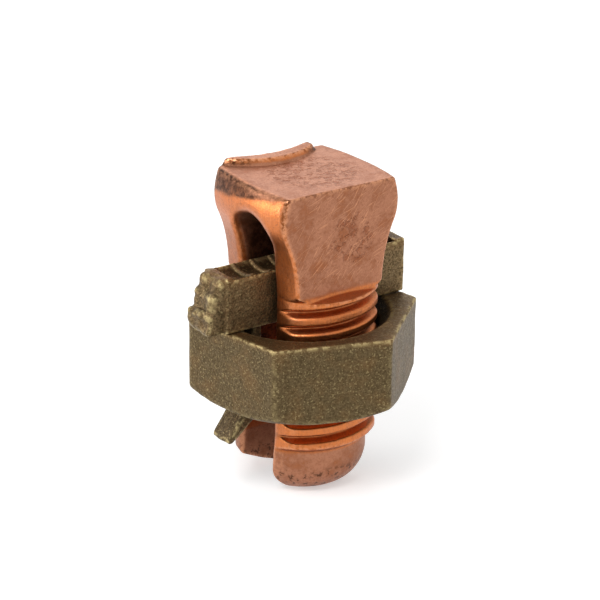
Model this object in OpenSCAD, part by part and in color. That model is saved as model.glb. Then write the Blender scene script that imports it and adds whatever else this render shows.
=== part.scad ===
// Split bolt connector: a copper bolt slotted to take the conductors, a bronze
// pressure bar that rides in the slot, and a bronze nut that drives the bar.
// Z is the bolt's axis, X runs along the conductors, and the origin is the
// centre of the conductor that lies in the crown of the slot.

/* [Conductor slot] */
// Width of the slot, and the diameter of its rounded crown
slot_w = 4.3; // [3.6:0.1:5]

/* [Bolt head] */
// Width across the two pressed flats
head_w = 10.4; // [9.6:0.1:11.2]
// Length along the conductor at the top edge
head_l = 11.9; // [11.2:0.1:12.2]
// Length along the conductor where the sides swell most
head_swell_l = 12.8; // [12.4:0.1:13.6]
// Distance from the top down to the widest place
swell_drop = 2; // [1.6:0.1:2.4]
// Metal between the crown of the slot and the top
crown_t = 2.75; // [2:0.05:4]
// Radius of the convex sides, seen from above
side_r = 24; // [16:1:30]
// Diameter that rounds the four upright corners where the sides swell most
corner_d = 15.7; // [15:0.1:16.2]
// The same diameter at the top edge
corner_top_d = 15; // [14.2:0.1:15.4]
// Height of the raised lip that coining leaves at the back of the top
lip_h = 0.55; // [0.2:0.05:1]
// Radius of the lip's front edge
lip_front_r = 6.65; // [5:0.05:8]
// Radius of the lip's back edge
lip_back_r = 9.3; // [8:0.1:12]
// Width of the lip at its middle
lip_w = 1.65; // [1:0.05:2.2]
// Distance from the bolt's axis to the middle of the lip's front edge
lip_y = 2.75; // [2:0.05:3.2]

/* [Bolt legs] */
// Outside diameter of the thread
thread_d = 12.7; // [12:0.1:13.2]
// Length of the legs along the conductor, at their middle
leg_l = 9.8; // [9.2:0.1:10.4]
// Distance from the slot's centre down to the top of the thread
neck_h = 4.05; // [3.2:0.05:4.6]
// Distance from the slot's centre down to the leg tips
leg_h = 22.5; // [21.8:0.1:26]
// Height of the bevel at the top of the thread
shoulder_h = 0.5; // [0.3:0.05:0.8]
// Length of the plain tips below the thread
tip_h = 5; // [3.6:0.1:5.4]
// Diameter of the plain tips
tip_d = 11; // [10.4:0.1:11.4]
// Height of the domed end
dome_h = 2.6; // [1.8:0.1:3.4]
// Diameter of the flat that the dome ends in
foot_d = 6.6; // [6:0.1:7.4]

/* [Nut] */
// Width across flats
nut_af = 17.46; // [16.8:0.02:19]
// Thickness
nut_h = 7; // [6:0.1:7.6]
// Angle of the first corner from the X axis
nut_turn = 40.7; // [0:0.1:60]
// Distance from the slot's centre down to the nut's top
nut_drop = 7.25; // [7:0.05:8]
// Clearance of the bore round the thread
thread_clear = 0.06; // [0.02:0.01:0.1]
// Diameter of the countersink at the top
sink_d = 14.8; // [14:0.1:15.6]
// Angle of the chamfer that takes off the lower corners
chamfer_a = 30; // [20:1:40]
// Bevel at the bottom of the bore
bevel = 0.5; // [0.2:0.05:0.8]

/* [Pressure bar] */
// Clearance between the bar and each wall of the slot
bar_clear = 0.5; // [0.2:0.05:0.7]
// Height from the nut to the bar's upper edges
bar_h = 4.85; // [4:0.05:5]
// Reach of the bar on the side of the casting stub
bar_left = 9; // [8.6:0.1:9.6]
// Reach of the bar on the other side
bar_right = 9.4; // [8.6:0.1:9.6]
// Depth of the saddle that the conductor lies in
saddle_depth = 0.7; // [0.5:0.05:0.8]
// Height of the gripping ridges that cross the saddle
ridge_h = 0.35; // [0.15:0.05:0.45]
// Thickness of a ridge
ridge_t = 0.45; // [0.3:0.05:0.8]
// Spacing of the ridges
ridge_pitch = 1.85; // [1.2:0.05:2.6]
// Gap between the bar and the nut that turns under it
seat_gap = 0.05; // [0.02:0.01:0.2]
// Clearance of the prongs inside the nut and beside the legs
prong_clear = 0.22; // [0.15:0.01:0.3]
// Width of a prong across the slot
prong_w = 2.6; // [2:0.1:3]
// Reach of the bent prong ends from the axis
hook_reach = 8.7; // [8:0.1:9.2]
// Height of the bent prong ends
hook_h = 3.2; // [2.2:0.1:3.4]
// Thickness of a prong at its very end
hook_t = 0.8; // [0.6:0.05:1.2]

/* [Casting stub] */
// Reach of the stub's lowest tier beyond the bar's end
stub_reach = 1.95; // [1.2:0.05:2.2]
// Share by which each tier reaches less far than the one below it
stub_step = 0.3; // [0.1:0.05:0.4]
// Number of tiers
stub_tiers = 3; // [2:1:4]

/* [Hidden] */
copper = [0.76, 0.47, 0.36];
bronze = [0.50, 0.43, 0.28];
eps = 0.02;

slot_r = slot_w / 2;
head_top = slot_r + crown_t;
lip_top = head_top + lip_h;
leg_tip = -leg_h;
thread_top = -neck_h;
thread_low = leg_tip + tip_h;
thread_r = thread_d / 2;
tip_r = tip_d / 2;
foot_r = foot_d / 2;
shoulder_r = head_w / 2 - shoulder_h;

// Two arcs shape each side: the swell is convex, and the flare below it is
// concave and meets both the swell and the upright leg without a corner.
leg_x = leg_l / 2;
swell_x = head_swell_l / 2;
swell_z = head_top - swell_drop;
top_inset = swell_x - head_l / 2;
swell_r = (swell_drop * swell_drop + top_inset * top_inset) / (2 * top_inset);
swell_cx = swell_x - swell_r;
flare_rise = swell_z - thread_top;
flare_span = leg_x - swell_cx;
flare_r = (flare_rise * flare_rise + flare_span * flare_span - swell_r * swell_r)
    / (2 * (swell_r - flare_span));
flare_cx = leg_x + flare_r;
tangent = swell_r / (swell_r + flare_r);
flare_top = swell_z - flare_rise * tangent;
flare_x = swell_cx + (flare_cx - swell_cx) * tangent;
side_c = side_r - leg_x;

nut_top = -nut_drop;
nut_low = nut_top - nut_h;
nut_r = nut_af / 2 / cos(30);
bore_r = thread_r + thread_clear;
sink_r = sink_d / 2;
chamfer_h = (nut_r - nut_af / 2) * tan(chamfer_a);

bar_y = slot_r - bar_clear;
bar_low = nut_top + seat_gap;
bar_top = bar_low + bar_h;
bar_corner = 0.45;
saddle_r = (bar_y * bar_y + saddle_depth * saddle_depth) / (2 * saddle_depth);
rib_depth = saddle_depth - ridge_h;
ridges = floor((bar_left + bar_right - ridge_pitch) / ridge_pitch);
first_ridge = (bar_right - bar_left - (ridges - 1) * ridge_pitch) / 2;
prong_out = bore_r - prong_clear;
prong_in = leg_x + prong_clear;
prong_low = nut_low - seat_gap;
stub_h = bar_h / stub_tiers;
stub_corner = 0.5;

// One side of the bolt in the X-Z plane, filled back to the axis that it is
// turned about to give the side its convex form.
module side_outline() {
    difference() {
        translate([eps - side_c, leg_tip])
            square([side_c + flare_x - eps, flare_top - leg_tip]);
        translate([flare_cx, thread_top])
            circle(r = flare_r, $fn = 160);
        translate([leg_x, leg_tip - eps])
            square([flare_x, thread_top - leg_tip + eps]);
    }
    fill_x = max(0, swell_cx);
    translate([eps - side_c, flare_top - eps])
        square([side_c + fill_x, lip_top - flare_top + eps]);
    intersection() {
        translate([fill_x, flare_top - eps])
            square([swell_x - fill_x, lip_top - flare_top + eps]);
        translate([swell_cx, swell_z])
            circle(r = swell_r, $fn = 96);
    }
}

module side_form() {
    translate([-side_c, 0, 0])
        rotate([0, 0, 90])
        rotate_extrude($fn = 160)
        translate([side_c, 0])
        side_outline();
}

// The head before its sides are pressed: two flats, corners that draw in
// toward the top, and the lip left standing along the back of the coined top.
module head_block() {
    block_low = thread_top - shoulder_h;
    block_h = head_top - block_low;
    intersection() {
        translate([-corner_d / 2, -head_w / 2, block_low])
            cube([corner_d, head_w, block_h + lip_h]);
        corner_rounding(block_low);
        translate([0, 0, block_low])
            union() {
                translate([-corner_d, -corner_d, 0])
                    cube([2 * corner_d, 2 * corner_d, block_h]);
                lip_band(block_h + lip_h);
            }
    }
}

module corner_rounding(low) {
    taper = (corner_d - corner_top_d) / 2 / swell_drop;
    top_r = corner_top_d / 2 - taper * lip_h;
    rotate_extrude($fn = 96)
        polygon([[0, low],
                 [corner_d / 2, low],
                 [corner_d / 2, swell_z],
                 [top_r, lip_top],
                 [0, lip_top]]);
}

module lip_band(h) {
    difference() {
        translate([0, lip_y + lip_front_r, 0])
            cylinder(r = lip_front_r, h = h, $fn = 96);
        translate([0, lip_y + lip_w + lip_back_r, -eps])
            cylinder(r = lip_back_r, h = h + 2 * eps, $fn = 96);
    }
}

// The turned part of the bolt: a bevelled shoulder, the thread's outside
// diameter, the plain tip and its domed end.
module turned_shank() {
    steps = 5;
    dome = [for (i = [0:steps])
        let (a = 90 * i / steps)
        [foot_r + (tip_r - foot_r) * sin(a), leg_tip + dome_h * (1 - cos(a))]];
    rotate_extrude($fn = 96)
        polygon(concat(
            [[0, thread_top], [0, leg_tip]],
            dome,
            [[tip_r, thread_low - (thread_r - tip_r)],
             [thread_r, thread_low],
             [thread_r, thread_top - shoulder_h],
             [shoulder_r, thread_top]]));
}

module slot_cut() {
    rotate([90, 0, 90])
        linear_extrude(height = 2 * corner_d, center = true) {
            circle(r = slot_r, $fn = 96);
            translate([-slot_r, leg_tip - 1])
                square([slot_w, leg_h + 1]);
        }
}

module bolt_body() {
    color(copper)
        difference() {
            intersection() {
                side_form();
                mirror([1, 0, 0]) side_form();
                union() {
                    head_block();
                    turned_shank();
                }
            }
            slot_cut();
        }
}

// The nut's chamfered envelope: full corners above, taken off below.
module nut_envelope() {
    rotate_extrude($fn = 96)
        polygon([[0, nut_low],
                 [nut_af / 2, nut_low],
                 [nut_r + eps, nut_low + chamfer_h + eps * tan(chamfer_a)],
                 [nut_r + eps, nut_top],
                 [0, nut_top]]);
}

module nut_bore() {
    rotate_extrude($fn = 96)
        polygon([[0, nut_low - eps],
                 [bore_r + bevel + eps, nut_low - eps],
                 [bore_r, nut_low + bevel],
                 [bore_r, nut_top - (sink_r - bore_r)],
                 [sink_r + eps, nut_top + eps],
                 [0, nut_top + eps]]);
}

module hex_nut() {
    color(bronze)
        difference() {
            intersection() {
                translate([0, 0, nut_low])
                    rotate([0, 0, nut_turn])
                    cylinder(r = nut_r, h = nut_h, $fn = 6);
                nut_envelope();
            }
            nut_bore();
        }
}

// The bar in plan: square at the stub's end, rounded corners at the other.
module bar_plan() {
    difference() {
        translate([-bar_left, -bar_y])
            square([bar_left + bar_right, 2 * bar_y]);
        for (s = [-1, 1])
            translate([bar_right, s * bar_y])
                corner_cut(s);
    }
}

module corner_cut(s) {
    difference() {
        translate([-bar_corner, s > 0 ? -bar_corner : -1])
            square([1 + bar_corner, 1 + bar_corner]);
        translate([-bar_corner, -s * bar_corner])
            circle(r = bar_corner, $fn = 32);
    }
}

// A shallow channel along the conductor, cut deeper between its ridges.
module saddle_cut() {
    reach = 2 * (bar_left + stub_reach + 1);
    rib_r = (bar_y * bar_y + rib_depth * rib_depth) / (2 * rib_depth);
    translate([0, 0, bar_top - rib_depth + rib_r])
        rotate([0, 90, 0])
        cylinder(r = rib_r, h = reach, center = true, $fn = 96);
    for (i = [0:ridges])
        translate([first_ridge + (i - 0.5) * ridge_pitch, 0, bar_top - saddle_depth + saddle_r])
            rotate([0, 90, 0])
            cylinder(r = saddle_r, h = ridge_pitch - ridge_t, center = true, $fn = 96);
}

// The stub that the casting's gate leaves: rounded tiers as wide as the bar,
// each reaching a little less far than the one below it.
module casting_stub() {
    for (k = [0:stub_tiers - 1]) {
        reach = stub_reach * (1 - stub_step * k);
        translate([-bar_left - reach, 0, bar_low + k * stub_h])
            intersection() {
                stub_plan(reach);
                stub_side(reach);
            }
    }
}

module stub_plan(reach) {
    linear_extrude(height = stub_h + eps) {
        for (s = [-1, 1])
            translate([stub_corner, s * (bar_y - stub_corner)])
                circle(r = stub_corner, $fn = 48);
        translate([0, stub_corner - bar_y])
            square([reach + eps, 2 * (bar_y - stub_corner)]);
        translate([stub_corner, -bar_y])
            square([reach - stub_corner + eps, 2 * bar_y]);
    }
}

module stub_side(reach) {
    round_r = stub_h * 0.6;
    rotate([90, 0, 0])
        linear_extrude(height = 2 * bar_y + 1, center = true) {
            translate([round_r, stub_h / 2])
                circle(r = round_r, $fn = 64);
            translate([round_r, 0])
                square([max(reach - round_r, 0) + eps, stub_h + eps]);
        }
}

// A prong goes down between the leg and the bore, and is bent out under the
// nut, so that the nut and the bar stay together.
module prong() {
    intersection() {
        translate([0, -prong_w / 2, nut_low - 1])
            cube([nut_r, prong_w, bar_low + 1 - nut_low + 1]);
        translate([0, 0, prong_low])
            difference() {
                cylinder(r = prong_out, h = bar_low + 1 - prong_low, $fn = 96);
                translate([-prong_in, -nut_r, -1])
                    cube([2 * prong_in, 2 * nut_r, nut_h + bar_h + 4]);
                translate([-2 * nut_r, -nut_r, -1])
                    cube([2 * nut_r, 2 * nut_r, nut_h + bar_h + 4]);
            }
    }
    translate([0, prong_w / 2, 0])
        rotate([90, 0, 0])
        linear_extrude(height = prong_w)
        polygon([[prong_in, prong_low + eps],
                 [prong_in, prong_low - hook_h * 0.35],
                 [hook_reach - hook_t, prong_low - hook_h],
                 [hook_reach, prong_low - hook_h + hook_t / 2],
                 [prong_out - hook_t / 4, prong_low + eps]]);
}

module pressure_bar() {
    color(bronze) {
        difference() {
            union() {
                translate([0, 0, bar_low])
                    linear_extrude(height = bar_h)
                    bar_plan();
                casting_stub();
            }
            saddle_cut();
        }
        prong();
        mirror([1, 0, 0]) prong();
    }
}

bolt_body();
pressure_bar();
hex_nut();
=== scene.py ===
"""Split bolt connector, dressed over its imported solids.

A copper bolt, slotted into two legs, carries a bronze pressure bar and a bronze nut. Each piece is modelled
as a smooth solid in millimetres, with the soft edges of pressing, tumbling and casting, and is then given its
thread, its gripping ridges and its finish. X runs along the conductors, Z is the bolt's axis, and the origin
is the centre of the conductor in the crown of the slot.
"""
from __future__ import annotations

import logging
import math
from dataclasses import dataclass
from enum import Enum
from typing import Callable, Sequence

import bpy
import numpy as np
from mathutils import Matrix, Vector


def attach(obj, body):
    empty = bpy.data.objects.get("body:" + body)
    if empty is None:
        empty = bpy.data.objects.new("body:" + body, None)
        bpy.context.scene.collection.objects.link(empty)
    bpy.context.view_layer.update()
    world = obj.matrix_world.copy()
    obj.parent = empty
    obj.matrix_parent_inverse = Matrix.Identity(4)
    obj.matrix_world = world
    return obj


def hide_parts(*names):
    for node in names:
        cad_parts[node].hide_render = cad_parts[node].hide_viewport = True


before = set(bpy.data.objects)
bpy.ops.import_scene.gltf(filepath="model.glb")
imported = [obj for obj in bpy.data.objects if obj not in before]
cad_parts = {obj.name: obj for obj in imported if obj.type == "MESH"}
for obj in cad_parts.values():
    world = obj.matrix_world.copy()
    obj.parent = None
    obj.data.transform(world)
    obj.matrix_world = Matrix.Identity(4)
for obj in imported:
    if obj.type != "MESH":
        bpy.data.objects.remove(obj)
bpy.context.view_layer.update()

MM = 0.001                         # metres in a millimetre
SKIN_INSET = 0.03                  # mm that a surface lies inside its solid, so that its lumps stay inside too
Array = np.ndarray
Field = Callable[[Array, Array, Array], Array]
LOG = logging.getLogger("split_bolt_connector")


# --------------------------------------------------------------------------- solids as distance fields

def round_max(a: Array, b: Array, radius: float | Array) -> Array:
    """Intersects two solids, with the edge between them rounded.

    Args:
        a: distance to the first solid's surface, negative inside it.
        b: distance to the second solid's surface, negative inside it.
        radius: radius of the rounded edge, in mm.

    Returns:
        The distance to the surface of what both solids hold.
    """
    reach = np.hypot(np.maximum(a + radius, 0.0), np.maximum(b + radius, 0.0))
    return np.minimum(np.maximum(a, b), -radius) + reach


def round_min(a: Array, b: Array, radius: float | Array) -> Array:
    """Joins two solids, with a fillet of that radius where they meet."""
    return -round_max(-a, -b, radius)


def smooth_step(value: Array, low: float, high: float) -> Array:
    """Rises smoothly from 0 at low to 1 at high; high may lie below low."""
    t = np.clip((value - low) / (high - low), 0.0, 1.0)
    return t * t * (3.0 - 2.0 * t)


def lumps(x: Array, y: Array, z: Array, size: float, seed: int) -> Array:
    """Gives smooth random heights between -1 and 1.

    Args:
        x: positions along X, in mm.
        y: positions along Y, in mm.
        z: positions along Z, in mm.
        size: distance between neighbouring lumps, in mm.
        seed: which random pattern to use.

    Returns:
        One height for each position.
    """
    cell, part = [], []
    for value in (x, y, z):
        scaled = np.asarray(value, float) / size
        low = np.floor(scaled)
        t = scaled - low
        cell.append(low.astype(np.int64))
        part.append(t * t * (3.0 - 2.0 * t))
    total = np.zeros(np.broadcast(x, y, z).shape)
    for corner in range(8):
        step = [(corner >> k) & 1 for k in range(3)]
        mixed = (cell[0] + step[0]) * 73856093 ^ (cell[1] + step[1]) * 19349663 \
            ^ (cell[2] + step[2]) * 83492791 ^ (seed * 2654435761)
        mixed = ((mixed ^ (mixed >> 13)) * 1274126177) & 0xFFFFFFFF
        mixed = ((mixed ^ (mixed >> 16)) * 2246822519) & 0xFFFFFFFF
        weight = 1.0
        for k in range(3):
            weight = weight * (part[k] if step[k] else 1.0 - part[k])
        total += weight * ((mixed ^ (mixed >> 15)) / 2147483647.5 - 1.0)
    return total


def slope_of(solid: Field, points: Array, step: float = 0.02) -> Array:
    """Measures how a field rises at some points.

    Args:
        solid: the field.
        points: one point a row, in mm.
        step: distance over which the rise is measured, in mm.

    Returns:
        The gradient at each point, one a row.
    """
    rise = np.empty_like(points)
    for axis in range(3):
        shift = np.zeros(3)
        shift[axis] = step
        ahead, behind = points + shift, points - shift
        rise[:, axis] = (solid(*ahead.T) - solid(*behind.T)) / (2.0 * step)
    return rise


def bend_of(solid: Field, points: Array, reach: float) -> Array:
    """Measures how sharply a surface bends: above 0 on an outer edge, below 0 in an inner corner.

    Args:
        solid: the field of the solid.
        points: one point a row, in mm.
        reach: how far round each point the bend is measured, in mm.

    Returns:
        The bend at each point, without a unit.
    """
    total = -6.0 * solid(*points.T)
    for axis in range(3):
        for sign in (-1.0, 1.0):
            moved = points.copy()
            moved[:, axis] += sign * reach
            total = total + solid(*moved.T)
    return total / reach


def skin(solid: Field, axes: Sequence[Array], settle: int = 3) -> tuple[Array, Array]:
    """Covers a solid with an even closed net of four-sided faces.

    Args:
        solid: the field of the solid, negative inside it.
        axes: the grid's places along X, Y and Z, in mm, reaching past the solid on every side.
        settle: how many times the net is drawn onto the exact surface.

    Returns:
        The net's points, one a row in mm, and its faces, four points a row, turned outwards.
    """
    value = solid(*np.meshgrid(*axes, indexing="ij"))
    inside = value < 0.0
    cells = np.array(value.shape) - 1
    places, rings = [], []
    for axis in range(3):
        span = [slice(None)] * 3
        span[axis] = slice(0, -1)
        ahead = [slice(None)] * 3
        ahead[axis] = slice(1, None)
        index = np.argwhere(inside[tuple(span)] != inside[tuple(ahead)])
        other = index.copy()
        other[:, axis] += 1
        low, high = value[tuple(index.T)], value[tuple(other.T)]
        point = np.stack([axes[k][index[:, k]] for k in range(3)], axis=1)
        step = axes[axis][other[:, axis]] - axes[axis][index[:, axis]]
        point[:, axis] += step * low / (low - high)
        ring = []
        for back in ((0, 0), (1, 0), (1, 1), (0, 1)):
            cell = index.copy()
            cell[:, (axis + 1) % 3] -= back[0]
            cell[:, (axis + 2) % 3] -= back[1]
            ring.append(np.ravel_multi_index(tuple(cell.T), tuple(cells)))
        ring = np.stack(ring, axis=1)
        flip = low > 0.0
        ring[flip] = ring[flip][:, ::-1]
        places.append(point)
        rings.append(ring)
    point, ring = np.concatenate(places), np.concatenate(rings)
    used, faces = np.unique(ring, return_inverse=True)
    faces = faces.reshape(ring.shape)
    count = np.bincount(faces.ravel(), minlength=len(used))
    net = np.stack([np.bincount(faces.ravel(), weights=np.repeat(point[:, k], 4), minlength=len(used)) / count
                    for k in range(3)], axis=1)
    for _ in range(settle):
        rise = slope_of(solid, net)
        steep = np.maximum((rise * rise).sum(axis=1), 0.05)
        move = solid(*net.T) / steep
        net -= rise * np.clip(move, -0.08, 0.08)[:, None]
    return net, faces


def even_axis(low: float, high: float, step: float) -> Array:
    """Places a grid's lines evenly from low to high, at most step apart."""
    return np.linspace(low, high, int(math.ceil((high - low) / step)) + 1)


def mesh_object(name: str, net: Array, faces: Array, marks: dict[str, Array]) -> bpy.types.Object:
    """Turns a net in millimetres into a smooth mesh object in metres.

    Args:
        name: the object's name.
        net: the points, one a row, in mm.
        faces: the faces, four points a row.
        marks: numbers to keep at each point, by name, for the finish to read.

    Returns:
        The new object, linked to the scene, with its place in its mesh.
    """
    mesh = bpy.data.meshes.new(name)
    mesh.from_pydata((net * MM).tolist(), [], faces.tolist())
    mesh.polygons.foreach_set("use_smooth", np.ones(len(mesh.polygons), bool))
    for key, value in marks.items():
        layer = mesh.attributes.new(key, "FLOAT", "POINT")
        layer.data.foreach_set("value", np.asarray(value, np.float32))
    mesh.update()
    made = bpy.data.objects.new(name, mesh)
    bpy.context.scene.collection.objects.link(made)
    return made


# --------------------------------------------------------------------------- node trees

def add_node(tree: bpy.types.NodeTree, kind: str, inputs: dict | None = None,
             **settings: object) -> bpy.types.Node:
    """Adds a node with its settings, values and links.

    Args:
        tree: the node tree.
        kind: the node's type name.
        inputs: for each input, by name or index, a value or the output socket that feeds it.
        settings: the node's own settings, by name.

    Returns:
        The new node.
    """
    node = tree.nodes.new(kind)
    for key, value in settings.items():
        setattr(node, key, value)
    for key, value in (inputs or {}).items():
        socket = node.inputs[key]
        if isinstance(value, bpy.types.NodeSocket):
            tree.links.new(value, socket)
        else:
            socket.default_value = value
    return node


def hex_colour(code: str) -> tuple[float, float, float, float]:
    """Turns an sRGB hex colour such as "#a36f51" into linear red, green, blue and alpha."""
    parts = [int(code[k:k + 2], 16) / 255.0 for k in (1, 3, 5)]
    linear = [p / 12.92 if p <= 0.04045 else ((p + 0.055) / 1.055) ** 2.4 for p in parts]
    return (linear[0], linear[1], linear[2], 1.0)


def seen_directly(tree: bpy.types.NodeTree) -> bpy.types.NodeSocket:
    """Tells the rays that see a surface, straight or off or through shiny metal, from those that only light it.

    Args:
        tree: the node tree of a material or a world.

    Returns:
        A socket that gives 1 to a ray that sees, and 0 to the rest.
    """
    path = add_node(tree, "ShaderNodeLightPath").outputs
    seen = add_node(tree, "ShaderNodeMath", {0: path["Is Camera Ray"], 1: path["Is Glossy Ray"]},
                    operation="MAXIMUM")
    seen = add_node(tree, "ShaderNodeMath", {0: seen.outputs[0], 1: path["Is Transmission Ray"]},
                    operation="MAXIMUM")
    return seen.outputs[0]


class Shop:
    """A material's node tree, with short ways to feed one node from another."""

    def __init__(self, name: str) -> None:
        """Starts an empty material of that name."""
        self.material = bpy.data.materials.new(name)
        self.material.use_nodes = True
        self.tree = self.material.node_tree
        self.tree.nodes.clear()
        self.place = add_node(self.tree, "ShaderNodeTexCoord").outputs["Object"]

    def mark(self, name: str) -> bpy.types.NodeSocket:
        """Reads a number that the mesh keeps at each point."""
        return add_node(self.tree, "ShaderNodeAttribute", attribute_name=name).outputs["Fac"]

    def math(self, operation: str, a: object, b: object = 0.0, clamp: bool = False) -> bpy.types.NodeSocket:
        """Works out one sum of two numbers or sockets."""
        node = add_node(self.tree, "ShaderNodeMath", {0: a, 1: b}, operation=operation, use_clamp=clamp)
        return node.outputs[0]

    def ramp(self, value: bpy.types.NodeSocket, low: float, high: float,
             to_low: float = 0.0, to_high: float = 1.0) -> bpy.types.NodeSocket:
        """Maps a number smoothly from one range to another, and holds it there.

        Args:
            value: the number.
            low: where the range starts.
            high: where it ends; it may lie below low.
            to_low: what is given at low.
            to_high: what is given at high.

        Returns:
            The new number.
        """
        node = add_node(self.tree, "ShaderNodeMapRange",
                        {"Value": value, "From Min": low, "From Max": high,
                         "To Min": to_low, "To Max": to_high},
                        interpolation_type="SMOOTHSTEP")
        return node.outputs["Result"]

    def turned(self, angles: tuple[float, float, float],
               stretch: tuple[float, float, float]) -> bpy.types.NodeSocket:
        """Turns and stretches the piece's own coordinates.

        Args:
            angles: turn about X, Y and Z, in degrees.
            stretch: how many times each axis is scaled after the turn.

        Returns:
            The coordinates, for a texture to read.
        """
        turn = add_node(self.tree, "ShaderNodeMapping",
                        {"Vector": self.place, "Rotation": tuple(math.radians(a) for a in angles)})
        scale = add_node(self.tree, "ShaderNodeVectorMath", {0: turn.outputs[0], 1: stretch},
                         operation="MULTIPLY")
        return scale.outputs[0]

    def grain(self, size_mm: float, detail: float = 2.0, rough: float = 0.55,
              place: bpy.types.NodeSocket | None = None, offset: float = 0.0) -> bpy.types.NodeSocket:
        """Gives a random pattern whose lumps are about that many millimetres across.

        Args:
            size_mm: how far apart the lumps are, in mm.
            detail: how many finer layers are added.
            rough: how strong those layers are.
            place: the coordinates to read, if not the piece's own.
            offset: moves the pattern, so that two of one size differ.

        Returns:
            The pattern's height, from 0 to 1.
        """
        vector = place or self.place
        if offset:
            vector = add_node(self.tree, "ShaderNodeVectorMath", {0: vector, 1: (offset, offset, offset)},
                              operation="ADD").outputs[0]
        node = add_node(self.tree, "ShaderNodeTexNoise",
                        {"Vector": vector, "Scale": 1.0 / (size_mm * MM), "Detail": detail, "Roughness": rough})
        return node.outputs["Fac"]

    def blend(self, share: object, first: object, second: object) -> bpy.types.NodeSocket:
        """Mixes two colours; a string is an sRGB hex colour.

        Args:
            share: how much of the second colour is taken.
            first: the colour at 0.
            second: the colour at 1.

        Returns:
            The mixed colour.
        """
        colours = [hex_colour(c) if isinstance(c, str) else c for c in (first, second)]
        node = add_node(self.tree, "ShaderNodeMix", data_type="RGBA", clamp_factor=True)
        for socket, value in zip((node.inputs[0], node.inputs[6], node.inputs[7]), (share, *colours)):
            if isinstance(value, bpy.types.NodeSocket):
                self.tree.links.new(value, socket)
            else:
                socket.default_value = value
        return node.outputs[2]

    def finish(self, colour: bpy.types.NodeSocket, roughness: bpy.types.NodeSocket, metallic: float,
               height: bpy.types.NodeSocket, depth_mm: float) -> bpy.types.Material:
        """Feeds the shader and gives the finished material.

        Args:
            colour: the surface colour.
            roughness: how rough the surface is.
            metallic: 1 for bare metal, less where a dull skin covers it.
            height: the height of the fine relief, from 0 to 1.
            depth_mm: how high the relief stands, in mm.

        Returns:
            The material.
        """
        bump = add_node(self.tree, "ShaderNodeBump",
                        {"Height": height, "Distance": depth_mm * MM, "Strength": 1.0})
        shader = add_node(self.tree, "ShaderNodeBsdfPrincipled",
                          {"Base Color": colour, "Roughness": roughness, "Metallic": metallic,
                           "Normal": bump.outputs[0]})
        add_node(self.tree, "ShaderNodeOutputMaterial", {"Surface": shader.outputs[0]})
        return self.material


# --------------------------------------------------------------------------- finishes

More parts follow.
